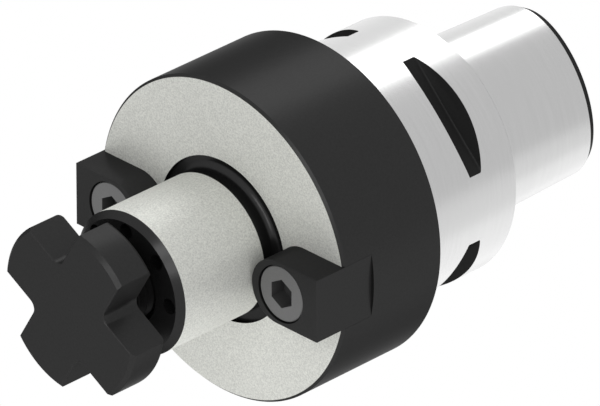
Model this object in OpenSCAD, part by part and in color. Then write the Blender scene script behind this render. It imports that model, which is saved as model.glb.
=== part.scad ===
// Shell mill adapter: a polygon taper coupling at the rear, a gripper flange, a big collar
// with two driving keys, and a pilot with a cross-head clamping screw for the cutter.
// The tool axis is Z. The origin is the centre of the gauge face, where the flange meets
// the machine spindle, and +Z points to the pilot. The keys lie on the X axis.

/* [Coupling] */
// Diameter of the gripper flange
flange_d = 40; // [37:0.5:45]
// Length of the flange, from the gauge face to the collar
flange_len = 20.8; // [16:0.1:32]
// Chamfer at the edge of the gauge face
flange_chamfer = 0.3; // [0.1:0.1:0.6]
// Mean diameter of the polygon shank at the gauge face
poly_d = 28; // [25.6:0.1:29.6]
// How far a lobe of the polygon stands out past the mean radius
poly_lobe = 0.72; // [0.24:0.02:0.96]
// Length of the polygon shank
shank_len = 24; // [21.5:0.5:32]
// Length of shank over which its diameter drops by one millimetre
taper_ratio = 20; // [12:1:60]
// Length of the chamfer at the rear end of the shank
shank_chamfer = 1.4; // [0.3:0.1:2]
// Slope of that chamfer to the tool axis
shank_chamfer_angle = 28; // [15:1:45]

/* [Clamping bore] */
// Bore in the shank where the clamping segments enter
clamp_bore_d = 18; // [16:0.1:19.2]
// Chamfer at the mouth of the clamping bore
clamp_mouth = 0.8; // [0.3:0.1:1.2]
// Diameter of the groove that the clamping segments grip
segment_groove_d = 21; // [20:0.1:21.8]
// Width of the segment groove
segment_groove_w = 4; // [2.5:0.5:5.5]
// Distance from the shank's end to the segment groove
segment_groove_at = 5; // [3.5:0.5:6.5]
// Depth of the clamping bore from the shank's end
clamp_bore_len = 14.5; // [14:0.5:19]
// Thread diameter for the draw bolt
draw_thread_d = 14; // [10:1:15]
// Height of the draw bolt's thread, between its crest and its root
draw_thread_depth = 0.81; // [0.5:0.01:1.2]
// Length of the draw bolt's thread
draw_thread_len = 17.5; // [10:0.5:21]
// Bore that carries the coolant through the middle
coolant_bore_d = 6; // [3:0.5:7]

/* [Gripper grooves] */
// Number of gripper grooves round the flange
groove_count = 4; // [2:1:6]
// Height of a groove's middle above the gauge face
groove_z = 7.8; // [6.5:0.1:11]
// Width of a groove's flat floor
groove_floor_w = 2.3; // [1:0.1:4]
// Depth of a groove at the middle of its floor
groove_depth = 2.5; // [1:0.1:3.2]
// Slope of a groove's walls, from square to the floor
groove_wall_angle = 30; // [5:1:40]

/* [Collar] */
// Diameter of the collar
collar_d = 50; // [48:0.5:56]
// Length of the collar
collar_len = 19.2; // [18:0.1:29]
// Chamfer at the collar's edges
collar_chamfer = 0.4; // [0.2:0.1:0.8]

/* [Pilot] */
// Diameter of the pilot that centres the cutter
pilot_d = 22; // [21.4:0.1:22.8]
// How far the pilot stands out of the contact face
pilot_len = 19; // [16:0.1:27]
// Chamfer at the pilot's end
pilot_chamfer = 1; // [0.4:0.1:1.1]
// Diameter of the relief neck at the pilot's foot
neck_d = 21; // [20.2:0.1:21.3]
// How far the relief neck reaches up the pilot
neck_len = 2.3; // [0.8:0.1:3.2]
// Diameter of the round recess in the contact face
recess_d = 25.6; // [24.9:0.1:26.6]
// Depth of the recess below the contact face
recess_depth = 0.8; // [0.3:0.1:1.6]
// Fillet between the relief neck and the floor of the recess
neck_fillet = 1.2; // [0.4:0.1:1.6]

/* [Coolant holes] */
// Number of coolant holes in the pilot's end
coolant_count = 8; // [3:1:8]
// Diameter of a coolant hole
coolant_d = 2.4; // [1.2:0.1:2.4]
// Diameter of the circle on which the coolant holes open
coolant_circle_d = 17.3; // [17:0.1:17.5]
// Angle at which the coolant holes run in to the middle
coolant_angle = 8.5; // [8:0.5:11]

/* [Driving keys] */
// Width of a key
key_w = 10; // [9.6:0.1:10.8]
// How far a key stands out of the contact face
key_proud = 5.4; // [3.5:0.1:7.2]
// How deep a key sits in its slot
key_sunk = 5.6; // [4:0.1:7.2]
// Gap between the pilot and the rounded inner end of a key
key_pilot_gap = 0.5; // [0.4:0.1:0.8]
// Broken edge round the front of a key
key_chamfer = 0.1; // [0.1:0.1:0.4]
// Distance from the collar's rim to the axis of a key screw
key_screw_rim = 7.7; // [7:0.05:8.6]

/* [Key screws] */
// Thread diameter of a key screw
key_screw_d = 5; // [4:0.5:5]
// Head diameter of a key screw
key_head_d = 8.5; // [7.5:0.1:8.6]
// Head height of a key screw
key_head_h = 5; // [3.5:0.1:5.4]
// Width across flats of the hexagon socket
key_socket_af = 4; // [2.5:0.5:4.5]
// Depth of the hexagon socket
key_socket_depth = 2.5; // [1:0.1:3]
// Chamfer at the top of the head
key_head_chamfer = 0.1; // [0.1:0.1:0.4]
// Thread length below the head
key_screw_len = 12; // [10:0.5:16]
// How far the head lies below the front of its key
key_head_sunk = 0.2; // [0.1:0.1:0.4]

/* [Cutter clamping screw] */
// Thread diameter of the clamping screw
clamp_screw_d = 10; // [8:1:11]
// Length of the clamping screw below its head
clamp_screw_len = 20; // [16:0.5:23]
// Diameter of the cross-shaped head
cross_d = 26.4; // [24:0.1:28.5]
// Thickness of the cross-shaped head
cross_h = 6.5; // [5:0.1:10]
// Width of an arm of the cross
cross_arm_w = 9.7; // [8:0.1:11.4]
// Fillet in the corners between the arms
cross_fillet = 1.4; // [0.4:0.1:2.4]
// Chamfer at the front of the arms' round ends
cross_front_chamfer = 0.6; // [0.2:0.1:0.8]
// Round edge at the back of the arms' round ends
cross_back_round = 0.9; // [0.3:0.1:1.2]
// Turn of the cross about the tool axis, as the screw stands
cross_turn = 15; // [0:5:90]
// Gap between the head and the pilot's end, as the screw stands
cross_standoff = 4.9; // [4.9:0.1:10]
// Diameter of the widened mouth of the clamping screw's hole
screw_mouth_d = 11.9; // [11.4:0.1:12.6]
// Depth of the widened mouth
screw_mouth_len = 1.6; // [0.4:0.1:3.2]

/* [Fits] */
// Gap on each side between a key and its slot
key_fit = 0.03; // [0.01:0.01:0.1]
// Gap all round between a key screw's head and its counterbore
head_gap = 0.2; // [0.1:0.05:0.3]
// Gap all round between a screw's thread and its hole
thread_fit = 0.05; // [0.02:0.01:0.1]
// Room left below the end of a key screw
screw_room = 1; // [0.5:0.1:2]
// Room left below the tightened clamping screw, where the coolant holes start
coolant_room = 8; // [6.5:0.5:11]

/* [Hidden] */
$fn = 96;
// A little extra length, so that a cut goes clean through a surface
over = 1;
face_z = flange_len + collar_len;
tip_z = face_z + pilot_len;
key_inner = pilot_d / 2 + key_pilot_gap;
key_round_x = key_inner + key_w / 2;
key_screw_x = collar_d / 2 - key_screw_rim;
// The key's flat outer end lies where its sides meet the collar
key_outer = sqrt(pow(collar_d / 2, 2) - pow(key_w / 2, 2));
key_back_z = face_z - key_sunk;
key_front_z = face_z + key_proud;
key_head_z = key_front_z - key_head_sunk - key_head_h;
cross_back_z = tip_z + cross_standoff;
// Steps round the polygon, and degrees between two of them
poly_steps = 120;
poly_step = 360 / poly_steps;
// One lobe of the polygon points to +Y, square to the keys
poly_turn = 90;
bore_end_z = -shank_len + clamp_bore_len;
draw_end_z = bore_end_z + draw_thread_len;
draw_hole_d = draw_thread_d - 2 * draw_thread_depth;
screw_hole_z = tip_z - clamp_screw_len - coolant_room;
// Drill points are cones of 118 degrees
drill_slope = tan(31);

// Point of the polygon at an angle, for a mean diameter d
function poly_point(a, d) =
    [d / 2 * cos(a) + 2 * poly_lobe * cos(2 * a) - poly_lobe * cos(4 * a),
     d / 2 * sin(a) - 2 * poly_lobe * sin(2 * a) - poly_lobe * sin(4 * a)];

// Ring of points of the polygon at a height, for a mean diameter d
function poly_ring(d, z) =
    [for (i = [0:poly_steps - 1]) let (p = poly_point(i * poly_step, d)) [p[0], p[1], z]];

// Faces that join ring r of the polygon to the next ring
function ring_faces(r) =
    [for (i = [0:poly_steps - 1]) let (j = (i + 1) % poly_steps, a = r * poly_steps)
        [a + i, a + poly_steps + i, a + poly_steps + j, a + j]];

// Shank diameter at a height below the gauge face
function shank_d(z) = poly_d + z / taper_ratio;

// Tapered three-lobed shank, with its rear chamfer
module polygon_shank() {
    chamfer_z = -shank_len + shank_chamfer;
    rings = [
        poly_ring(shank_d(chamfer_z) - 2 * shank_chamfer * tan(shank_chamfer_angle), -shank_len),
        poly_ring(shank_d(chamfer_z), chamfer_z),
        poly_ring(shank_d(0), 0),
        poly_ring(shank_d(0), over)
    ];
    last = len(rings) - 1;
    points = [for (ring = rings) each ring];
    bottom = [for (i = [0:poly_steps - 1]) i];
    top = [for (i = [poly_steps - 1:-1:0]) last * poly_steps + i];
    sides = [for (r = [0:last - 1]) each ring_faces(r)];
    rotate([0, 0, poly_turn])
        polyhedron(points = points, faces = concat([top, bottom], sides), convexity = 4);
}

// Flange, collar and pilot as one turned outline
module turned_outline() {
    flange_r = flange_d / 2;
    collar_r = collar_d / 2;
    pilot_r = pilot_d / 2;
    rotate_extrude()
        polygon([
            [0, 0],
            [flange_r - flange_chamfer, 0],
            [flange_r, flange_chamfer],
            [flange_r, flange_len],
            [collar_r - collar_chamfer, flange_len],
            [collar_r, flange_len + collar_chamfer],
            [collar_r, face_z - collar_chamfer],
            [collar_r - collar_chamfer, face_z],
            [pilot_r, face_z],
            [pilot_r, tip_z - pilot_chamfer],
            [pilot_r - pilot_chamfer, tip_z],
            [0, tip_z]
        ]);
}

// Recess in the contact face and relief neck at the pilot's foot
module neck_relief() {
    neck_r = neck_d / 2;
    floor_z = face_z - recess_depth;
    fillet_r = neck_r + neck_fillet;
    rotate_extrude()
        difference() {
            union() {
                translate([neck_r, floor_z])
                    square([recess_d / 2 - neck_r, recess_depth + over]);
                translate([neck_r, floor_z])
                    square([pilot_d / 2 - neck_r + over, recess_depth + neck_len]);
            }
            difference() {
                translate([neck_r - over, floor_z - over])
                    square(neck_fillet + over);
                translate([fillet_r, floor_z + neck_fillet])
                    circle(r = neck_fillet);
            }
        }
}

// Chordal gripper groove with sloping walls, on the +X side
module gripper_groove() {
    reach = groove_depth + over;
    half_floor = groove_floor_w / 2;
    half_top = half_floor + reach * tan(groove_wall_angle);
    floor_x = flange_d / 2 - groove_depth;
    translate([floor_x, flange_d / 2, groove_z])
        rotate([90, 0, 0])
            linear_extrude(height = flange_d)
                polygon([
                    [0, -half_floor],
                    [reach, -half_top],
                    [reach, half_top],
                    [0, half_floor]
                ]);
}

// Plan of a key, or of its slot with a gap all round, on the +X side
module key_plan(gap, outer) {
    half_w = key_w / 2 + gap;
    translate([key_round_x, 0])
        circle(r = half_w);
    translate([key_round_x, -half_w])
        square([outer - key_round_x, 2 * half_w]);
}

// Slot for a key and the tapped hole in its floor
module key_seat() {
    hole_len = key_screw_len - (key_head_z - key_back_z) + screw_room;
    translate([0, 0, key_back_z])
        linear_extrude(height = key_sunk + over)
            key_plan(key_fit, collar_d / 2 + over);
    translate([key_screw_x, 0, key_back_z - hole_len])
        drilled_hole(key_screw_d + 2 * thread_fit, hole_len + over);
}

// Blind hole of diameter d with a drill point below, open upwards
module drilled_hole(d, h) {
    cylinder(d = d, h = h);
    translate([0, 0, -d / 2 * drill_slope])
        cylinder(d1 = 0, d2 = d, h = d / 2 * drill_slope);
}

// Clamping bore, segment groove, draw bolt thread and coolant bore
module rear_bores() {
    groove_start = -shank_len + segment_groove_at;
    translate([0, 0, -shank_len - over])
        cylinder(d = clamp_bore_d, h = clamp_bore_len + over);
    translate([0, 0, -shank_len])
        cylinder(d1 = clamp_bore_d + 2 * clamp_mouth, d2 = clamp_bore_d, h = clamp_mouth);
    translate([0, 0, groove_start])
        cylinder(d = segment_groove_d, h = segment_groove_w);
    translate([0, 0, bore_end_z - over])
        cylinder(d = draw_hole_d, h = draw_thread_len + over);
    translate([0, 0, bore_end_z])
        cylinder(d1 = draw_thread_d, d2 = draw_hole_d, h = draw_thread_depth);
    translate([0, 0, draw_end_z - over])
        cylinder(d = coolant_bore_d, h = screw_hole_z - draw_end_z + 2 * over);
}

// Hole for the clamping screw, with its widened mouth
module clamp_screw_hole() {
    translate([0, 0, screw_hole_z])
        cylinder(d = clamp_screw_d + 2 * thread_fit, h = tip_z - screw_hole_z + over);
    translate([0, 0, tip_z - screw_mouth_len])
        cylinder(d = screw_mouth_d, h = screw_mouth_len + over);
}

// Slanted holes that carry the coolant from the middle to the pilot's end
module coolant_holes() {
    run = (tip_z - screw_hole_z) / cos(coolant_angle);
    for (i = [0:coolant_count - 1])
        rotate([0, 0, i * 360 / coolant_count])
            translate([coolant_circle_d / 2, 0, tip_z])
                rotate([0, 180 + coolant_angle, 0])
                    translate([0, 0, -over])
                        cylinder(d = coolant_d, h = run);
}

module holder_body() {
    color("#c9c9c6")
        difference() {
            union() {
                turned_outline();
                polygon_shank();
            }
            neck_relief();
            for (i = [0:groove_count - 1])
                rotate([0, 0, (i + 0.5) * 360 / groove_count])
                    gripper_groove();
            for (side = [0, 180])
                rotate([0, 0, side])
                    key_seat();
            rear_bores();
            clamp_screw_hole();
            coolant_holes();
        }
}

// Driving key on the +X side, with its counterbored screw hole
module drive_key() {
    thick = key_proud + key_sunk;
    color("#2e2e2c")
        difference() {
            translate([0, 0, key_back_z]) {
                linear_extrude(height = thick - key_chamfer)
                    key_plan(0, key_outer);
                translate([0, 0, thick - key_chamfer])
                    key_front();
            }
            translate([key_screw_x, 0, key_head_z])
                cylinder(d = key_head_d + 2 * head_gap, h = key_head_h + key_head_sunk + over);
            translate([key_screw_x, 0, key_back_z - over])
                cylinder(d = key_screw_d + 2 * head_gap, h = thick + over);
        }
}

// Chamfered front layer of a key
module key_front() {
    half_w = key_w / 2;
    inset = key_chamfer;
    translate([key_round_x, 0, 0])
        cylinder(r1 = half_w, r2 = half_w - inset, h = inset);
    translate([key_round_x, 0, 0])
        rotate([90, 0, 90])
            linear_extrude(height = key_outer - key_round_x)
                polygon([
                    [-half_w, 0],
                    [half_w, 0],
                    [half_w - inset, inset],
                    [-half_w + inset, inset]
                ]);
}

// Socket head cap screw of a key, on the +X side
module key_screw() {
    corner_d = key_socket_af / cos(30);
    tip_chamfer = key_head_chamfer + thread_fit;
    color("#636363")
        translate([key_screw_x, 0, key_head_z])
            difference() {
                union() {
                    cylinder(d = key_head_d, h = key_head_h - key_head_chamfer);
                    translate([0, 0, key_head_h - key_head_chamfer])
                        cylinder(d1 = key_head_d, d2 = key_head_d - 2 * key_head_chamfer,
                                 h = key_head_chamfer);
                    translate([0, 0, -key_screw_len + tip_chamfer])
                        cylinder(d = key_screw_d, h = key_screw_len);
                    translate([0, 0, -key_screw_len])
                        cylinder(d1 = key_screw_d - 2 * tip_chamfer, d2 = key_screw_d,
                                 h = tip_chamfer);
                }
                translate([0, 0, key_head_h - key_socket_depth])
                    rotate([0, 0, 30])
                        cylinder(d = corner_d, h = key_socket_depth + over, $fn = 6);
            }
}

// Outline of the notch between two arms, opening towards +X
module notch_plan() {
    corner = cross_arm_w / 2 * sqrt(2);
    start = cross_fillet / sqrt(2);
    reach = cross_d;
    translate([corner, 0])
        polygon([[start, -start], [reach, -reach], [reach, reach], [start, start]]);
    translate([corner + cross_fillet * sqrt(2), 0])
        circle(r = cross_fillet);
}

// Turned disc from which the cross is milled, with its back face at height 0
module cross_disc() {
    cross_r = cross_d / 2;
    rotate_extrude()
        difference() {
            polygon([
                [0, 0],
                [cross_r, 0],
                [cross_r, cross_h - cross_front_chamfer],
                [cross_r - cross_front_chamfer, cross_h],
                [0, cross_h]
            ]);
            difference() {
                translate([cross_r - cross_back_round, -over])
                    square(cross_back_round + over);
                translate([cross_r - cross_back_round, cross_back_round])
                    circle(r = cross_back_round);
            }
        }
}

module cutter_clamping_screw() {
    tip_chamfer = 1;
    color("#333333")
        translate([0, 0, cross_back_z]) {
            difference() {
                cross_disc();
                for (i = [0:3])
                    rotate([0, 0, cross_turn + i * 90])
                        translate([0, 0, -over])
                            linear_extrude(height = cross_h + 2 * over)
                                notch_plan();
            }
            translate([0, 0, -clamp_screw_len + tip_chamfer])
                cylinder(d = clamp_screw_d, h = clamp_screw_len);
            translate([0, 0, -clamp_screw_len])
                cylinder(d1 = clamp_screw_d - 2 * tip_chamfer, d2 = clamp_screw_d, h = tip_chamfer);
        }
}

module drive_key_right() {
    drive_key();
}

module drive_key_left() {
    rotate([0, 0, 180])
        drive_key();
}

module key_screw_right() {
    key_screw();
}

module key_screw_left() {
    rotate([0, 0, 180])
        key_screw();
}

holder_body();
drive_key_right();
drive_key_left();
key_screw_right();
key_screw_left();
cutter_clamping_screw();
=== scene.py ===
"""Looks of the shell mill adapter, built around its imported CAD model.

The tool axis is Z and +Z points to the pilot. Sizes are in millimetres until a mesh
is made, where MM turns them to metres.
"""

from __future__ import annotations

import logging
import math
from collections.abc import Callable, Iterable, Sequence
from dataclasses import dataclass
from enum import Enum

import bmesh
import bpy
from bpy.types import Material, Mesh, Node, NodeTree, Object
from mathutils import Matrix, Vector

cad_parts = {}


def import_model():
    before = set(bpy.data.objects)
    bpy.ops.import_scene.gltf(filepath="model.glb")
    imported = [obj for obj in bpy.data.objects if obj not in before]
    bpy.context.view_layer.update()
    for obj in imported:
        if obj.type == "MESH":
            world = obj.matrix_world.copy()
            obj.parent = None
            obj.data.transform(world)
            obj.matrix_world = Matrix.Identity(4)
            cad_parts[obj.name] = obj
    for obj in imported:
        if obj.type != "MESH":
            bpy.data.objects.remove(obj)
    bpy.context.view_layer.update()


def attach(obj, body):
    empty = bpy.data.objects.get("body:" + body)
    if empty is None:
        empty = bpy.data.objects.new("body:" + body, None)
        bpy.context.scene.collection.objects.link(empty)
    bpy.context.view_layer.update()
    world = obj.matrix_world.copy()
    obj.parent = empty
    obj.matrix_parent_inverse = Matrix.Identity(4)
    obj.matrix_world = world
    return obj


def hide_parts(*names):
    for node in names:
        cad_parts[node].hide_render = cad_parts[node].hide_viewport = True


LOG = logging.getLogger("adapter")

MM = 0.001
TURN = 2 * math.pi
# Points nearer than this are merged, and shorter slivers are dropped.
WELD = 1e-4
SLIVER = 1e-5
# A face's centre or a corner this near to a size counts as lying there.
NEAR = 0.01
# A cutting tool stands this far out of the piece that it cuts.
CLEAR = 2.0
# The upright part of a normal: less than WALL on a wall, more than LEVEL on a level face.
WALL = 0.1
LEVEL = 0.9
Point = tuple[float, float]


class Body(Enum):
    """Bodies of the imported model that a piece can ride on."""

    HOLDER = "holder"
    CLAMPING_SCREW = "clamping_screw"


class Side(Enum):
    """The two driving keys, by the turn about the tool axis that takes them there."""

    RIGHT = 0.0
    LEFT = math.pi


# Mesh helpers


def merged(bm: bmesh.types.BMesh) -> bmesh.types.BMesh:
    """Merges double vertices and turns every face outwards.

    Args:
        bm: A closed shape.

    Returns:
        The same bmesh.
    """
    bmesh.ops.remove_doubles(bm, verts=bm.verts, dist=WELD * MM)
    bmesh.ops.dissolve_degenerate(bm, edges=bm.edges, dist=SLIVER * MM)
    bmesh.ops.recalc_face_normals(bm, faces=bm.faces)
    return bm


def turned(outline: Sequence[Point], steps: int, closed: bool = False) -> bmesh.types.BMesh:
    """Spins an outline once round the tool axis, as on a lathe.

    Args:
        outline: Points as (radius, height).
        steps: Facets round the axis.
        closed: Whether the outline runs back to its first point. An outline that isn't
            closed starts and ends on the axis.

    Returns:
        The turned shape.
    """
    bm = bmesh.new()
    verts = [bm.verts.new((r * MM, 0.0, z * MM)) for r, z in outline]
    edges = [bm.edges.new(pair) for pair in zip(verts, verts[1:])]
    if closed:
        edges.append(bm.edges.new((verts[-1], verts[0])))
    bmesh.ops.spin(
        bm,
        geom=verts + edges,
        cent=(0, 0, 0),
        axis=(0, 0, 1),
        dvec=(0, 0, 0),
        angle=TURN,
        steps=steps,
        use_merge=True,
        use_normal_flip=False,
        use_duplicate=False,
    )
    return merged(bm)


def extruded(outline: Sequence[Point], low: float, high: float) -> bmesh.types.BMesh:
    """Raises a flat outline from one height to another.

    Args:
        outline: Points as (x, y), in order round the outline.
        low: Height of the lower face.
        high: Height of the upper face.

    Returns:
        The raised shape.
    """
    bm = bmesh.new()
    face = bm.faces.new([bm.verts.new((x * MM, y * MM, low * MM)) for x, y in outline])
    grown = bmesh.ops.extrude_face_region(bm, geom=[face])
    verts = [v for v in grown["geom"] if isinstance(v, bmesh.types.BMVert)]
    bmesh.ops.translate(bm, verts=verts, vec=(0, 0, (high - low) * MM))
    return merged(bm)


def flared(lower: Sequence[Point], upper: Sequence[Point], low: float, high: float) -> bmesh.types.BMesh:
    """Raises one flat outline to another with as many points.

    Args:
        lower: Points as (x, y) of the lower face, in order.
        upper: Points of the upper face, in the same order.
        low: Height of the lower face.
        high: Height of the upper face.

    Returns:
        The raised shape.
    """
    bm = extruded(lower, low, high)
    for vert in bm.verts:
        if vert.co.z > (low + high) / 2 * MM:
            here = (vert.co.x / MM, vert.co.y / MM)
            place = min(range(len(lower)), key=lambda i: math.dist(lower[i], here))
            vert.co.x, vert.co.y = upper[place][0] * MM, upper[place][1] * MM
    return merged(bm)


def rod(radius: float, low: float, high: float, steps: int = 64) -> bmesh.types.BMesh:
    """Makes a plain round rod on the tool axis.

    Args:
        radius: Its radius.
        low: Height of its lower end.
        high: Height of its upper end.
        steps: Facets round it.

    Returns:
        The rod.
    """
    bm = bmesh.new()
    bmesh.ops.create_cone(
        bm,
        cap_ends=True,
        segments=steps,
        radius1=radius * MM,
        radius2=radius * MM,
        depth=(high - low) * MM,
        matrix=Matrix.Translation((0, 0, (low + high) / 2 * MM)),
    )
    return bm


def arc(centre: Point, radius: float, start: float, end: float, steps: int) -> list[Point]:
    """Gives points on an arc.

    Args:
        centre: Its centre.
        radius: Its radius.
        start: First angle in degrees.
        end: Last angle in degrees.
        steps: Stretches between the points.

    Returns:
        The points, both ends among them.
    """
    angles = [math.radians(start + (end - start) * i / steps) for i in range(steps + 1)]
    return [(centre[0] + radius * math.cos(a), centre[1] + radius * math.sin(a)) for a in angles]


def moved(bm: bmesh.types.BMesh, matrix: Matrix) -> bmesh.types.BMesh:
    """Moves a whole shape.

    Args:
        bm: The shape.
        matrix: The move, in metres.

    Returns:
        The same bmesh.
    """
    bmesh.ops.transform(bm, matrix=matrix, verts=bm.verts)
    return bm


def evenly(count: int, first: float = 0.0) -> list[float]:
    """Gives evenly spaced angles once round the tool axis.

    Args:
        count: How many.
        first: The first angle in degrees.

    Returns:
        The angles in radians.
    """
    return [math.radians(first + 360 / count * i) for i in range(count)]


def round_axis(angle: float) -> Matrix:
    """Gives the turn by an angle in radians about the tool axis."""
    return Matrix.Rotation(angle, 4, "Z")


def thread(crest: float, root: float, pitch: float, low: float, high: float) -> bmesh.types.BMesh:
    """Makes a right-hand screw thread with flat crests and roots, cut square at both ends.

    Args:
        crest: Radius at the crests.
        root: Radius at the roots.
        pitch: Rise in one turn.
        low: Height of the lower end.
        high: Height of the upper end.

    Returns:
        The closed threaded rod.
    """
    steps = 72
    # Turns past each end, which are cut off square.
    spare = 2
    # Where the root ends and the crest starts and ends, in shares of the pitch.
    root_end, crest_start, crest_end = 0.2, 0.52, 0.68
    # How near the turns come to each other where they join.
    joint = 1e-3
    first = low - spare * pitch
    count = math.ceil((high - low) / pitch) + 2 * spare
    comb: list[Point] = []
    for i in range(count):
        z = first + i * pitch
        comb += [(root, z), (root, z + root_end * pitch)]
        comb += [(crest, z + crest_start * pitch), (crest, z + crest_end * pitch)]
    comb.append((root, first + count * pitch))
    bm = bmesh.new()
    verts = [bm.verts.new((r * MM, 0.0, z * MM)) for r, z in comb]
    edges = [bm.edges.new(pair) for pair in zip(verts, verts[1:])]
    bmesh.ops.spin(
        bm,
        geom=verts + edges,
        cent=(0, 0, 0),
        axis=(0, 0, 1),
        dvec=(0, 0, pitch / steps * MM),
        angle=TURN,
        steps=steps,
        use_merge=False,
        use_normal_flip=False,
        use_duplicate=False,
    )
    bmesh.ops.remove_doubles(bm, verts=bm.verts, dist=joint * MM)
    for height, up in ((low, -1), (high, 1)):
        cut = bmesh.ops.bisect_plane(
            bm,
            geom=[*bm.verts, *bm.edges, *bm.faces],
            plane_co=(0, 0, height * MM),
            plane_no=(0, 0, up),
            clear_outer=True,
        )
        rim = [e for e in cut["geom_cut"] if isinstance(e, bmesh.types.BMEdge)]
        bmesh.ops.edgeloop_fill(bm, edges=rim)
    return merged(bm)


def as_object(bm: bmesh.types.BMesh, name: str) -> Object:
    """Turns a bmesh into an object of the scene, and frees the bmesh.

    Args:
        bm: The shape.
        name: The object's name.

    Returns:
        The new object, at the origin.
    """
    mesh = bpy.data.meshes.new(name)
    bm.to_mesh(mesh)
    bm.free()
    obj = bpy.data.objects.new(name, mesh)
    bpy.context.scene.collection.objects.link(obj)
    return obj


def baked(obj: Object) -> Object:
    """Applies the modifiers of an object to its mesh.

    Args:
        obj: The object.

    Returns:
        The same object, with a new mesh and no modifiers.
    """
    graph = bpy.context.evaluated_depsgraph_get()
    mesh = bpy.data.meshes.new_from_object(obj.evaluated_get(graph))
    old: Mesh = obj.data
    obj.modifiers.clear()
    obj.data = mesh
    mesh.name = obj.name
    bpy.data.meshes.remove(old)
    return obj


def cut_out(obj: Object, tools: Iterable[bmesh.types.BMesh]) -> Object:
    """Cuts several shapes out of an object.

    Args:
        obj: The piece that is cut.
        tools: Closed shapes that are taken away.

    Returns:
        The same object, cut.
    """
    cutters = [as_object(tool, "cutter") for tool in tools]
    for cutter in cutters:
        step = obj.modifiers.new("cut", "BOOLEAN")
        step.operation = "DIFFERENCE"
        step.solver = "EXACT"
        step.object = cutter
    bpy.context.view_layer.update()
    baked(obj)
    for cutter in cutters:
        mesh = cutter.data
        bpy.data.objects.remove(cutter)
        bpy.data.meshes.remove(mesh)
    return obj


def finished(obj: Object, sharp: float = 25.0, square: float = 0.999) -> Object:
    """Shades a piece smoothly, but keeps its sharp edges and its faces square to the axis.

    Args:
        obj: The piece.
        sharp: The angle in degrees from which an edge stays sharp.
        square: The upright part of a normal from which a face is shaded flat.

    Returns:
        The same object.
    """
    bm = bmesh.new()
    bm.from_mesh(obj.data)
    bmesh.ops.remove_doubles(bm, verts=bm.verts, dist=WELD * MM)
    for face in bm.faces:
        face.smooth = abs(face.normal.z) < square
    for edge in bm.edges:
        if len(edge.link_faces) == 2:
            edge.smooth = edge.calc_face_angle(0.0) < math.radians(sharp)
    bm.to_mesh(obj.data)
    bm.free()
    return obj


def dress(
    obj: Object, finishes: Sequence[Material], choose: Callable[[Vector, Vector], Material]
) -> None:
    """Gives each face of a piece one of several finishes.

    Args:
        obj: The piece.
        finishes: Its materials.
        choose: Gives a face's material from its centre in millimetres and its normal.
    """
    obj.data.materials.clear()
    for material in finishes:
        obj.data.materials.append(material)
    places = {material.name: place for place, material in enumerate(finishes)}
    for face in obj.data.polygons:
        face.material_index = places[choose(face.center / MM, face.normal).name]


# Finishes


def linear(code: str) -> tuple[float, float, float, float]:
    """Turns an sRGB hex colour to the linear values that shaders take.

    Args:
        code: Six hex digits after a hash sign.

    Returns:
        Linear red, green and blue, and 1 for alpha.
    """
    values = [int(code[i : i + 2], 16) / 255 for i in (1, 3, 5)]
    red, green, blue = (
        v / 12.92 if v <= 0.04045 else ((v + 0.055) / 1.055) ** 2.4 for v in values
    )
    return red, green, blue, 1.0


def add_node(tree: NodeTree, kind: str, settings: dict | None = None, **links: object) -> Node:
    """Adds a shader node with its settings and links.

    Args:
        tree: The node tree.
        kind: The node's type name.
        settings: Values of the node's own properties.
        **links: Socket values or output sockets, by the input's name with underscores
            for blanks, or by in0, in1 and so on for an input's place.

    Returns:
        The new node.
    """
    node = tree.nodes.new(kind)
    for key, value in (settings or {}).items():
        setattr(node, key, value)
    for key, value in links.items():
        place = int(key[2:]) if key[:2] == "in" and key[2:].isdigit() else key.replace("_", " ")
        socket = node.inputs[place]
        if isinstance(value, bpy.types.NodeSocket):
            tree.links.new(value, socket)
        else:
            socket.default_value = value
    return node


@dataclass(frozen=True)
class Finish:
    """A surface finish: what it is, its colours, and the grain that its making leaves.

    The grain's tone runs from dark to light between the noise values darkest and lightest.
    The edge colour tints what the surface mirrors at a grazing angle.
    """

    name: str
    dark: str
    light: str
    roughness: float
    grain_mm: float
    bump: float
    metal: float = 1.0
    edge: str = "#ffffff"
    stretch: tuple[float, float, float] = (1.0, 1.0, 1.0)
    relief_mm: float = 0.02
    grain_detail: float = 3.0
    grain_harshness: float = 0.6
    darkest: float = 0.32
    lightest: float = 0.68

    def material(self) -> Material:
        """Builds the finish as a material.

        Returns:
            The material, with its grain on Object coordinates.
        """
        material = bpy.data.materials.new(self.name)
        material.use_nodes = True
        tree = material.node_tree
        tree.nodes.clear()
        place = add_node(tree, "ShaderNodeTexCoord")
        scale = tuple(s / (self.grain_mm * MM) for s in self.stretch)
        spread = add_node(tree, "ShaderNodeMapping", Vector=place.outputs["Object"], Scale=scale)
        grain = add_node(
            tree,
            "ShaderNodeTexNoise",
            Vector=spread.outputs["Vector"],
            Scale=1.0,
            Detail=self.grain_detail,
            Roughness=self.grain_harshness,
        )
        tone = add_node(tree, "ShaderNodeValToRGB", Fac=grain.outputs["Fac"])
        tone.color_ramp.elements[0].position = self.darkest
        tone.color_ramp.elements[0].color = linear(self.dark)
        tone.color_ramp.elements[1].position = self.lightest
        tone.color_ramp.elements[1].color = linear(self.light)
        relief = add_node(
            tree,
            "ShaderNodeBump",
            Height=grain.outputs["Fac"],
            Strength=self.bump,
            Distance=self.relief_mm * MM,
        )
        shader = add_node(
            tree,
            "ShaderNodeBsdfPrincipled",
            Base_Color=tone.outputs["Color"],
            Metallic=self.metal,
            Roughness=self.roughness,
            Specular_IOR_Level=0.0,
            Specular_Tint=linear(self.edge),
            Normal=relief.outputs["Normal"],
        )
        add_node(tree, "ShaderNodeOutputMaterial", Surface=shader.outputs["BSDF"])
        return material


# The real grains are much finer. They are drawn as coarse as they need to be to show.

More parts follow.
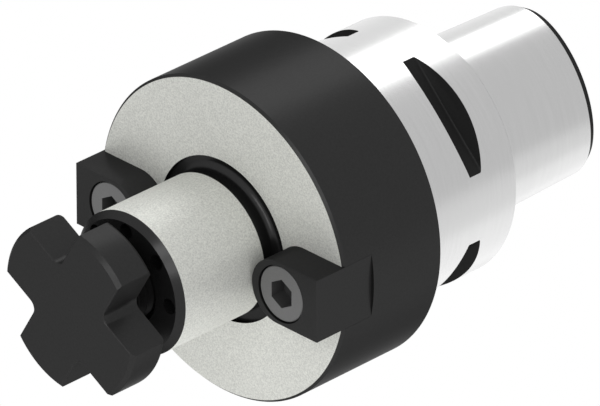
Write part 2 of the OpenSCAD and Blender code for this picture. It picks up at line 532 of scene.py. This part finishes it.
# Cylindrically ground hardened steel: bright, with very fine lines round the axis.
GROUND_STEEL = Finish(
    "ground_steel",
    dark="#bbbbbb",
    light="#bebebe",
    roughness=0.26,
    grain_mm=0.3,
    bump=0.005,
    stretch=(0.03, 0.03, 1.0),
)
# Face-ground and lapped steel: pale, matt, with a fine sparkling grain.
LAPPED_STEEL = Finish(
    "lapped_steel",
    dark="#cbccc7",
    light="#edeee8",
    roughness=0.5,
    grain_mm=0.24,
    bump=0.3,
    metal=0.28,
)
# Black oxide on fine-turned steel: nearly black, with an even satin sheen at every angle.
BLACK_OXIDE = Finish(
    "black_oxide_steel",
    dark="#363636",
    light="#393939",
    roughness=0.3,
    grain_mm=0.35,
    bump=0.04,
    metal=0.4,
    edge="#a8a8a8",
)
# Black oxide on smooth-turned steel, in the undercut and on the pilot's end: it mirrors softly.
SMOOTH_OXIDE = Finish(
    "smooth_black_oxide_steel",
    dark="#333333",
    light="#363636",
    roughness=0.25,
    grain_mm=0.35,
    bump=0.02,
    metal=0.72,
    edge="#a8a8a8",
)
# Black oxide in grooves, slots and bores, on the collar's back and on the clamping screw's thread: less
# glossy, and darker as painted shade for these hollow and hidden places.
SHADED_DULL_OXIDE = Finish(
    "dull_oxide_steel_painted_shade",
    dark="#292929",
    light="#2c2c2c",
    roughness=0.4,
    grain_mm=0.35,
    bump=0.04,
    metal=0.6,
    edge="#a8a8a8",
)
# Zinc phosphate on screw steel: mid grey and even.
PHOSPHATED_STEEL = Finish(
    "phosphated_steel",
    dark="#757575",
    light="#797979",
    roughness=0.4,
    grain_mm=0.25,
    bump=0.1,
    metal=0.42,
    edge="#b8b8b8",
)
# Zinc phosphate down in a forged hexagon socket, darker as painted shade.
SHADED_SOCKET_STEEL = Finish(
    "phosphated_socket_painted_shade",
    dark="#515151",
    light="#555555",
    roughness=0.5,
    grain_mm=0.25,
    bump=0.1,
    metal=0.42,
    edge="#b8b8b8",
)


@dataclass
class Finishes:
    """The materials of the whole adapter, built once."""

    ground: Material
    lapped: Material
    oxide: Material
    smooth: Material
    # Its darker tone is painted shade in grooves, slots, bores and threads.
    dull_shaded: Material
    phosphate: Material
    # Its darker phosphate is painted shade in the hexagon socket.
    socket: Material

    @classmethod
    def build(cls) -> Finishes:
        """Builds every finish once.

        Returns:
            The materials.
        """
        oxides = (BLACK_OXIDE, SMOOTH_OXIDE, SHADED_DULL_OXIDE)
        kinds = (GROUND_STEEL, LAPPED_STEEL, *oxides, PHOSPHATED_STEEL, SHADED_SOCKET_STEEL)
        return cls(*(kind.material() for kind in kinds))


# Pieces


def seat(obj: Object, body: Body, node: str) -> Object:
    """Puts a finished piece on its body, in place of its CAD node.

    Args:
        obj: The piece.
        body: The body that it rides on.
        node: The CAD node that it stands for.

    Returns:
        The same object.
    """
    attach(obj, body.value)
    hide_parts(node)
    LOG.info("%s: %d faces", obj.name, len(obj.data.polygons))
    return obj


@dataclass(frozen=True)
class KeyPlace:
    """The sizes that the body, its driving keys and their screws share."""

    width: float = 10.0
    round_x: float = 16.5
    round_steps: int = 40
    collar_r: float = 25.0
    back_z: float = 34.4
    screw_x: float = 17.3
    screw_seat_z: float = 40.2


@dataclass
class HolderBody:
    """The one-piece body: polygon shank, flange, collar and pilot.

    The last fields tell the finishes apart: wall_r lies in the shank's wall, outside its
    bores, and turned_outward is the outward part of a normal above which a face of the
    flange is turned and not milled.
    """

    finishes: Finishes
    place: KeyPlace = KeyPlace()
    steps: int = 360
    flange_r: float = 20.0
    flange_len: float = 20.8
    flange_chamfer: float = 0.1
    poly_r: float = 14.0
    poly_lobe: float = 0.72
    shank_len: float = 24.0
    taper: float = 1 / 40
    end_chamfer: float = 1.4
    end_slope: float = 28.0
    collar_chamfer: float = 0.4
    collar_rear_edge: float = 0.08
    face_z: float = 40.0
    tip_z: float = 59.0
    pilot_r: float = 11.0
    pilot_chamfer: float = 1.0
    neck_r: float = 10.5
    neck_top: float = 42.3
    recess_r: float = 12.8
    recess_depth: float = 0.8
    neck_fillet: float = 1.2
    mouth_r: float = 5.95
    mouth_len: float = 1.6
    screw_hole_r: float = 5.05
    screw_hole_z: float = 31.0
    coolant_bore_r: float = 3.0
    thread_r: float = 7.0
    thread_root_r: float = 6.19
    thread_pitch: float = 1.5
    thread_top: float = 8.0
    thread_start: float = 0.5
    bore_r: float = 9.0
    bore_top: float = -9.5
    bore_mouth: float = 0.8
    segment_r: float = 10.5
    segment_low: float = -19.0
    segment_high: float = -15.0
    groove_z: float = 7.8
    groove_floor_w: float = 2.3
    groove_depth: float = 2.5
    groove_wall: float = 30.0
    groove_fillet: float = 0.35
    grooves: int = 4
    first_groove: float = 45.0
    slot_gap: float = 0.03
    coolant_r: float = 1.2
    coolant_circle_r: float = 8.65
    coolant_angle: float = 8.5
    coolant_holes: int = 8
    wall_r: float = 11.5
    turned_outward: float = 0.69
    collar_rim: float = 1.0
    slot_margin: float = 0.05
    slot_end: float = 0.3

    def outline(self) -> list[Point]:
        """Gives the closed outline of the turned body, bores included.

        Returns:
            Points as (radius, height).
        """
        collar_r = self.place.collar_r
        floor_z = self.face_z - self.recess_depth
        fillet = (self.neck_r + self.neck_fillet, floor_z + self.neck_fillet)
        chamfer_z = self.end_chamfer - self.shank_len
        chamfer_r = self.poly_r + chamfer_z * self.taper
        end_r = chamfer_r - self.end_chamfer * math.tan(math.radians(self.end_slope))
        bevel = self.thread_r - self.thread_root_r
        outside: list[Point] = [
            (end_r, -self.shank_len),
            (chamfer_r, chamfer_z),
            (self.poly_r, 0.0),
            (self.flange_r - self.flange_chamfer, 0.0),
            (self.flange_r, self.flange_chamfer),
            (self.flange_r, self.flange_len),
            (collar_r - self.collar_rear_edge, self.flange_len),
            (collar_r, self.flange_len + self.collar_rear_edge),
            (collar_r, self.face_z - self.collar_chamfer),
            (collar_r - self.collar_chamfer, self.face_z),
            (self.recess_r, self.face_z),
            (self.recess_r, floor_z),
            *arc(fillet, self.neck_fillet, start=270, end=180, steps=12),
            (self.neck_r, self.neck_top),
            (self.pilot_r, self.neck_top),
            (self.pilot_r, self.tip_z - self.pilot_chamfer),
            (self.pilot_r - self.pilot_chamfer, self.tip_z),
        ]
        inside: list[Point] = [
            (self.mouth_r, self.tip_z),
            (self.mouth_r, self.tip_z - self.mouth_len),
            (self.screw_hole_r, self.tip_z - self.mouth_len),
            (self.screw_hole_r, self.screw_hole_z),
            (self.coolant_bore_r, self.screw_hole_z),
            (self.coolant_bore_r, self.thread_top),
            (self.thread_root_r, self.thread_top),
            (self.thread_root_r, self.bore_top + bevel),
            (self.thread_r, self.bore_top),
            (self.bore_r, self.bore_top),
            (self.bore_r, self.segment_high),
            (self.segment_r, self.segment_high),
            (self.segment_r, self.segment_low),
            (self.bore_r, self.segment_low),
            (self.bore_r, self.bore_mouth - self.shank_len),
            (self.bore_r + self.bore_mouth, -self.shank_len),
        ]
        return outside + inside

    def lobed(self, bm: bmesh.types.BMesh) -> bmesh.types.BMesh:
        """Pulls the round outside of the shank out to its three-lobed polygon.

        Args:
            bm: The turned body.

        Returns:
            The same bmesh.
        """
        for vert in bm.verts:
            x, y, z = vert.co / MM
            r = math.hypot(x, y)
            if z > NEAR or not self.wall_r < r < self.poly_r + NEAR:
                continue
            a = math.atan2(y, x) - math.pi / 2
            e = self.poly_lobe
            along = r * math.cos(a) + 2 * e * math.cos(2 * a) - e * math.cos(4 * a)
            across = r * math.sin(a) - 2 * e * math.sin(2 * a) - e * math.sin(4 * a)
            vert.co.x, vert.co.y = -across * MM, along * MM
        return bm

    def groove_tool(self, angle: float) -> bmesh.types.BMesh:
        """Gives the cutter of one gripper groove.

        Args:
            angle: Turn about the tool axis in radians.

        Returns:
            A prism with a trapezoid section, lying along the chord.
        """
        reach = self.groove_depth + CLEAR
        half = self.groove_floor_w / 2
        slope = math.radians(self.groove_wall)
        top = half + reach * math.tan(slope)
        rise = self.groove_fillet * (1 - math.sin(slope)) / math.cos(slope)
        fillet = (self.groove_fillet, rise - half)
        outline = arc(fillet, self.groove_fillet, start=180, end=270 - self.groove_wall, steps=5)
        outline += [(reach, -top), (reach, top), (0, half)]
        bm = extruded(outline, -self.flange_r, self.flange_r)
        lay = Matrix.Rotation(math.pi / 2, 4, "X")
        floor_x = self.flange_r - self.groove_depth
        shift = Matrix.Translation((floor_x * MM, 0, self.groove_z * MM))
        return moved(bm, round_axis(angle) @ shift @ lay)

    def slot_tool(self, side: Side) -> bmesh.types.BMesh:
        """Gives the cutter of one key slot.

        Args:
            side: Which slot.

        Returns:
            A closed shape with a round inner end.
        """
        half = self.place.width / 2 + self.slot_gap
        outer = self.place.collar_r + CLEAR
        centre = (self.place.round_x, 0)
        outline = arc(centre, half, start=90, end=270, steps=self.place.round_steps)
        outline += [(outer, -half), (outer, half)]
        slot = extruded(outline, self.place.back_z, self.face_z + CLEAR)
        return moved(slot, round_axis(side.value))

    def coolant_tool(self, angle: float) -> bmesh.types.BMesh:
        """Gives the drill of one slanted coolant hole.

        Args:
            angle: Turn about the tool axis in radians.

        Returns:
            A rod that runs in from the pilot's end.
        """
        drill = rod(self.coolant_r, self.screw_hole_z - self.tip_z, CLEAR, steps=32)
        tilt = Matrix.Rotation(math.radians(self.coolant_angle), 4, "Y")
        shift = Matrix.Translation((self.coolant_circle_r * MM, 0, self.tip_z * MM))
        return moved(drill, round_axis(angle) @ shift @ tilt)

    def finish_of(self, centre: Vector, normal: Vector) -> Material:
        """Chooses the finish of a face.

        Args:
            centre: The face's centre in millimetres.
            normal: The face's normal.

        Returns:
            The finish.
        """
        # Bores, grooves, slots, the collar's back and the pilot's mouth get the darker oxide, as painted
        # shade.
        looks = self.finishes
        r = math.hypot(centre.x, centre.y)
        z = centre.z
        if z < NEAR:
            if r < self.wall_r:
                return looks.dull_shaded
            return looks.oxide if z < self.end_chamfer - self.shank_len else looks.ground
        if z < self.flange_len - NEAR:
            outward = (normal.x * centre.x + normal.y * centre.y) / max(r, NEAR)
            flank = r > self.flange_r - self.flange_chamfer and outward > self.turned_outward
            return looks.ground if flank and abs(normal.z) < WALL else looks.dull_shaded
        if z < self.face_z - self.recess_depth - NEAR:
            flank = r > self.place.collar_r - self.collar_rim and not self.in_slot(centre)
            return looks.oxide if flank else looks.dull_shaded
        if r > self.recess_r + NEAR:
            if z > self.face_z - NEAR and normal.z > LEVEL:
                return looks.lapped
            return looks.dull_shaded if self.in_slot(centre) else looks.oxide
        if r > self.pilot_r - NEAR and z > self.neck_top:
            return looks.lapped
        return looks.dull_shaded if r < self.mouth_r + NEAR else looks.smooth

    def in_slot(self, centre: Vector) -> bool:
        """Tells whether a face lies inside a key slot.

        Args:
            centre: The face's centre in millimetres.

        Returns:
            True for the walls and the floor of a slot.
        """
        half = self.place.width / 2 + self.slot_margin
        inside = abs(centre.y) < half and centre.z > self.place.back_z - NEAR
        return inside and math.hypot(centre.x, centre.y) < self.place.collar_r - self.slot_end

    def build(self) -> Object:
        """Makes the body, cuts its grooves, slots and holes, and dresses it.

        Returns:
            The finished piece.
        """
        body = as_object(self.lobed(turned(self.outline(), self.steps, closed=True)), "body")
        tools = [self.groove_tool(angle) for angle in evenly(self.grooves, self.first_groove)]
        tools += [self.slot_tool(side) for side in Side]
        tools += [self.coolant_tool(angle) for angle in evenly(self.coolant_holes)]
        draw_bolt_thread = thread(
            crest=self.thread_r,
            root=self.thread_root_r,
            pitch=self.thread_pitch,
            low=self.bore_top + self.thread_start,
            high=self.thread_top,
        )
        cut_out(body, [*tools, draw_bolt_thread])
        finished(body)
        shades = (
            self.finishes.ground,
            self.finishes.lapped,
            self.finishes.oxide,
            self.finishes.dull_shaded,
            self.finishes.smooth,
        )
        dress(body, shades, self.finish_of)
        return seat(body, Body.HOLDER, "holder_body")


@dataclass
class DriveKey:
    """A driving key: rounded inner end, flat outer end, counterbored for its screw."""

    finishes: Finishes
    place: KeyPlace = KeyPlace()
    front_z: float = 45.4
    edge: float = 0.1
    bore_r: float = 4.45
    clear_r: float = 2.7

    def build(self, side: Side) -> Object:
        """Makes the key of one side.

        Args:
            side: Which key.

        Returns:
            The finished piece.
        """
        place = self.place
        half = place.width / 2
        outline = arc((place.round_x, 0), half, start=90, end=270, steps=place.round_steps)
        outer_x = math.sqrt(place.collar_r**2 - half**2)
        outline += [(outer_x, -half), (outer_x, half)]
        bm = extruded(outline, place.back_z, self.front_z)
        front = [
            edge
            for edge in bm.edges
            if all(abs(v.co.z / MM - self.front_z) < NEAR for v in edge.verts)
        ]
        bmesh.ops.bevel(
            bm,
            geom=front,
            offset=self.edge * MM,
            offset_type="OFFSET",
            segments=2,
            profile=0.5,
            affect="EDGES",
            material=-1,
        )
        name = f"drive_key_{side.name.lower()}"
        key = as_object(bm, name + "_piece")
        shift = Matrix.Translation((place.screw_x * MM, 0, 0))
        bores = [
            moved(rod(self.bore_r, place.screw_seat_z, self.front_z + CLEAR, steps=96), shift),
            moved(rod(self.clear_r, place.back_z - CLEAR, self.front_z), shift),
        ]
        cut_out(key, bores)
        key.data.transform(round_axis(side.value))
        finished(key)
        dress(key, [self.finishes.oxide, self.finishes.dull_shaded], self.finish_of)
        return seat(key, Body.HOLDER, name)

    def finish_of(self, centre: Vector, normal: Vector) -> Material:
        """Chooses the finish of a face: oxide outside, and in the bores a less glossy, darker one, as
        painted shade.

        Args:
            centre: The face's centre in millimetres.
            normal: The face's normal.

        Returns:
            The finish.
        """
        if abs(normal.z) > LEVEL:
            bored = abs(centre.z - self.place.screw_seat_z) < NEAR
        else:
            off = math.hypot(abs(centre.x) - self.place.screw_x, centre.y)
            bored = off < self.bore_r + NEAR
        return self.finishes.dull_shaded if bored else self.finishes.oxide


@dataclass
class KeyScrew:
    """The socket head cap screw of a key."""

    finishes: Finishes
    place: KeyPlace = KeyPlace()
    head_r: float = 4.25
    head_edge: float = 0.1
    head_h: float = 5.0
    socket_af: float = 4.0
    socket_sides: int = 6
    socket_depth: float = 2.5
    socket_zone_r: float = 2.4
    thread_r: float = 2.5
    thread_end: float = 0.15
    length: float = 12.0

    def build(self, side: Side) -> Object:
        """Makes the screw of one side.

        Args:
            side: Which screw.

        Returns:
            The finished piece.
        """
        seat_z = self.place.screw_seat_z
        top = seat_z + self.head_h
        end = seat_z - self.length
        outline: list[Point] = [
            (0, end),
            (self.thread_r - self.thread_end, end),
            (self.thread_r, end + self.thread_end),
            (self.thread_r, seat_z),
            (self.head_r, seat_z),
            (self.head_r, top - self.head_edge),
            (self.head_r - self.head_edge, top),
            (0, top),
        ]
        name = f"key_screw_{side.name.lower()}"
        screw = as_object(turned(outline, steps=96), name + "_piece")
        corner = self.socket_af / 2 / math.cos(math.pi / self.socket_sides)
        socket = rod(corner, top - self.socket_depth, top + CLEAR, steps=self.socket_sides)
        cut_out(screw, [socket])
        screw.data.transform(Matrix.Translation((self.place.screw_x * MM, 0, 0)))
        screw.data.transform(round_axis(side.value))
        finished(screw)
        dress(screw, [self.finishes.phosphate, self.finishes.socket], self.finish_of)
        return seat(screw, Body.HOLDER, name)

    def finish_of(self, centre: Vector, normal: Vector) -> Material:
        """Chooses the finish of a face: a darker phosphate in the hexagon socket, as painted shade.

        Args:
            centre: The face's centre in millimetres.
            normal: The face's normal; not used.

        Returns:
            The finish.
        """
        top = self.place.screw_seat_z + self.head_h
        sunk = top - self.socket_depth - NEAR < centre.z < top - NEAR
        off = math.hypot(abs(centre.x) - self.place.screw_x, centre.y)
        in_socket = sunk and off < self.socket_zone_r
        return self.finishes.socket if in_socket else self.finishes.phosphate


@dataclass
class ClampingScrew:
    """The cutter clamping screw: a cross-shaped head on a threaded shank."""

    finishes: Finishes
    back_z: float = 63.9
    height: float = 6.5
    radius: float = 13.2
    front_chamfer: float = 0.6
    back_round: float = 0.9
    arms: int = 4
    arm_w: float = 9.7
    fillet: float = 1.4
    turn: float = 15.0
    edge: float = 0.12
    overlap: float = 0.5
    thread_r: float = 5.0
    root_r: float = 4.2
    pitch: float = 1.5
    length: float = 20.0

    def notch(self, grown: float) -> list[Point]:
        """Gives the outline of the notch between two arms.

        Args:
            grown: How far the notch is grown all round.

        Returns:
            A wedge that opens along X, with a rounded inner corner.
        """
        corner = self.arm_w / 2 * math.sqrt(2)
        centre = corner + self.fillet * math.sqrt(2)
        reach = self.radius * 2
        side = reach + grown * math.sqrt(2)
        outline = arc((centre, 0), self.fillet + grown, start=135, end=225, steps=12)
        return outline + [(corner + reach, -side), (corner + reach, side)]

    def notch_tools(self, angle: float) -> list[bmesh.types.BMesh]:
        """Gives the cutters of one notch: the notch itself and its broken front edge.

        Args:
            angle: Direction in which the notch opens, in radians.

        Returns:
            Two closed shapes.
        """
        top = self.back_z + self.height
        notch = self.notch(0.0)
        through = extruded(notch, self.back_z - CLEAR, top + CLEAR)
        wide = self.notch(self.edge + self.overlap)
        broken = flared(notch, wide, top - self.edge, top + self.overlap)
        return [moved(bm, round_axis(angle)) for bm in (through, broken)]

    def build(self) -> Object:
        """Makes the screw: turned head, milled notches and a cut thread.

        Returns:
            The finished piece.
        """
        top = self.back_z + self.height
        round_centre = (self.radius - self.back_round, self.back_z + self.back_round)
        outline: list[Point] = [
            (0, self.back_z),
            *arc(round_centre, self.back_round, start=270, end=360, steps=10),
            (self.radius, top - self.front_chamfer),
            (self.radius - self.front_chamfer, top),
            (0, top),
        ]
        head = as_object(turned(outline, steps=256), "clamping_screw_piece")
        angles = evenly(self.arms, self.turn)
        cut_out(head, [tool for angle in angles for tool in self.notch_tools(angle)])
        shank = thread(
            crest=self.thread_r,
            root=self.root_r,
            pitch=self.pitch,
            low=self.back_z - self.length,
            high=self.back_z + self.overlap,
        )
        shank_mesh = bpy.data.meshes.new("shank")
        shank.to_mesh(shank_mesh)
        shank.free()
        whole = bmesh.new()
        whole.from_mesh(head.data)
        whole.from_mesh(shank_mesh)
        whole.to_mesh(head.data)
        whole.free()
        bpy.data.meshes.remove(shank_mesh)
        finished(head)
        dress(head, [self.finishes.oxide, self.finishes.dull_shaded], self.finish_of)
        return seat(head, Body.CLAMPING_SCREW, "cutter_clamping_screw")

    def finish_of(self, centre: Vector, normal: Vector) -> Material:
        """Chooses the finish of a face: oxide on the head, and on the thread a less glossy, darker one,
        as painted shade.

        Args:
            centre: The face's centre in millimetres.
            normal: The face's normal; not used.

        Returns:
            The finish.
        """
        on_thread = centre.z < self.back_z - NEAR
        return self.finishes.dull_shaded if on_thread else self.finishes.oxide


# Studio


@dataclass(frozen=True)
class Softbox:
    """A soft area lamp that points at the adapter. Its lengths are in metres."""

    name: str
    direction: tuple[float, float, float]
    distance: float
    size: tuple[float, float]
    power: float
    mirrored: bool = True

    def build(self, target: Vector) -> Object:
        """Adds the lamp to the scene.

        Args:
            target: The point that it faces, in metres.

        Returns:
            The lamp's object.
        """
        lamp = bpy.data.lights.new(self.name, "AREA")
        lamp.shape = "RECTANGLE"
        lamp.size, lamp.size_y = self.size
        lamp.energy = self.power
        obj = bpy.data.objects.new(self.name, lamp)
        away = Vector(self.direction).normalized()
        obj.location = target + away * self.distance
        obj.rotation_mode = "QUATERNION"
        obj.rotation_quaternion = away.to_track_quat("Z", "Y")
        obj.visible_camera = False
        obj.visible_glossy = self.mirrored
        bpy.context.scene.collection.objects.link(obj)
        return obj


LAMPS = (
    Softbox("strip_light", (-0.34, 0.70, -0.62), distance=0.45, size=(0.25, 0.3), power=0.58),
    Softbox("left_fill", (-0.77, 0.14, -0.62), distance=0.45, size=(0.39, 0.3), power=0.1),
    Softbox("low_light", (0.16, -0.76, -0.62), distance=0.45, size=(0.38, 0.3), power=0.106),
    Softbox("low_fill", (0.2, -0.75, -0.62), distance=0.35, size=(0.7, 0.3), power=0.2),
    Softbox("front_light", (0.533, 0.327, 0.779), distance=0.7, size=(0.2, 0.2), power=0.44),
    Softbox("upper_light", (0.275, 0.585, 0.762), distance=0.7, size=(0.2, 0.2), power=0.55),
    # Kept out of reflections, so that it lifts the shade side without a highlight of its own.
    Softbox(
        "right_fill",
        (0.25, -0.85, 0.45),
        distance=0.3,
        size=(0.4, 0.3),
        power=0.48,
        mirrored=False,
    ),
)


def seen(tree: NodeTree) -> bpy.types.NodeSocket:
    """Gives 1 for camera, glossy and transmission rays, and 0 for others.

    Args:
        tree: The node tree that asks.

    Returns:
        The output socket with the value.
    """
    path = add_node(tree, "ShaderNodeLightPath")
    shown = add_node(
        tree,
        "ShaderNodeMath",
        {"operation": "MAXIMUM"},
        in0=path.outputs["Is Camera Ray"],
        in1=path.outputs["Is Glossy Ray"],
    )
    both = add_node(
        tree,
        "ShaderNodeMath",
        {"operation": "MAXIMUM"},
        in0=shown.outputs[0],
        in1=path.outputs["Is Transmission Ray"],
    )
    return both.outputs[0]


@dataclass
class Studio:
    """Camera, floor, world and lamps.

    Place, right and up are the camera's, fitted to the photograph. Lengths are in metres,
    apart from the lens and the sensor.
    """

    lens_mm: float = 540.356
    place: tuple[float, float, float] = (0.802654, 0.625385, 0.829480)
    right: tuple[float, float, float] = (0.707142, 0.002866, -0.707066)
    up: tuple[float, float, float] = (-0.342628, 0.876133, -0.339113)
    sensor_mm: float = 36.0
    nearest: float = 0.05
    farthest: float = 30.0
    floor_z: float = -0.5
    floor_half: float = 6.0
    aim_z: float = 0.022
    ambient: float = 0.54

    def camera(self) -> Object:
        """Adds the camera at the photograph's viewing angle.

        Returns:
            The camera's object.
        """
        data = bpy.data.cameras.new("camera")
        data.sensor_fit = "HORIZONTAL"
        data.sensor_width = self.sensor_mm
        data.lens = self.lens_mm
        data.clip_start, data.clip_end = self.nearest, self.farthest
        obj = bpy.data.objects.new("camera", data)
        right = Vector(self.right).normalized()
        back = right.cross(Vector(self.up)).normalized()
        up = back.cross(right)
        turn = Matrix((right, up, back)).transposed().to_4x4()
        obj.matrix_world = Matrix.Translation(self.place) @ turn
        bpy.context.scene.collection.objects.link(obj)
        bpy.context.scene.camera = obj
        return obj

    def floor(self) -> Object:
        """Adds the plain pale floor, white where it is seen.

        Returns:
            The floor's object.
        """
        bm = bmesh.new()
        bmesh.ops.create_grid(
            bm,
            x_segments=1,
            y_segments=1,
            size=self.floor_half,
            matrix=Matrix.Translation((0, 0, self.floor_z)),
        )
        obj = as_object(bm, "floor")
        material = bpy.data.materials.new("white_paper_floor")
        material.use_nodes = True
        tree = material.node_tree
        tree.nodes.clear()
        paper = add_node(tree, "ShaderNodeBsdfDiffuse", Color=linear("#f2f2f2"))
        glow = add_node(tree, "ShaderNodeEmission", Color=linear("#ffffff"), Strength=1.0)
        mix = add_node(
            tree,
            "ShaderNodeMixShader",
            in0=seen(tree),
            in1=paper.outputs[0],
            in2=glow.outputs[0],
        )
        add_node(tree, "ShaderNodeOutputMaterial", Surface=mix.outputs[0])
        obj.data.materials.append(material)
        return obj

    def world(self) -> None:
        """Lights the object evenly, and shows white wherever the world is seen."""
        world = bpy.data.worlds.new("studio")
        bpy.context.scene.world = world
        world.use_nodes = True
        tree = world.node_tree
        tree.nodes.clear()
        soft = add_node(tree, "ShaderNodeBackground", Color=linear("#ffffff"), Strength=self.ambient)
        white = add_node(tree, "ShaderNodeBackground", Color=linear("#ffffff"), Strength=1.0)
        mix = add_node(
            tree,
            "ShaderNodeMixShader",
            in0=seen(tree),
            in1=soft.outputs[0],
            in2=white.outputs[0],
        )
        add_node(tree, "ShaderNodeOutputWorld", Surface=mix.outputs[0])

    def build(self) -> None:
        """Sets up everything that isn't the adapter."""
        self.camera()
        self.floor()
        self.world()
        target = Vector((0, 0, self.aim_z))
        for lamp in LAMPS:
            lamp.build(target)
        view = bpy.context.scene.view_settings
        view.view_transform = "Standard"


def main() -> None:
    """Builds the scene: studio first, then each piece of the adapter."""
    logging.basicConfig(level=logging.INFO, format="%(name)s: %(message)s")
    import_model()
    Studio().build()
    finishes = Finishes.build()
    HolderBody(finishes).build()
    for side in Side:
        DriveKey(finishes).build(side)
        KeyScrew(finishes).build(side)
    ClampingScrew(finishes).build()
    bpy.context.view_layer.update()


if __name__ == "__main__":
    main()
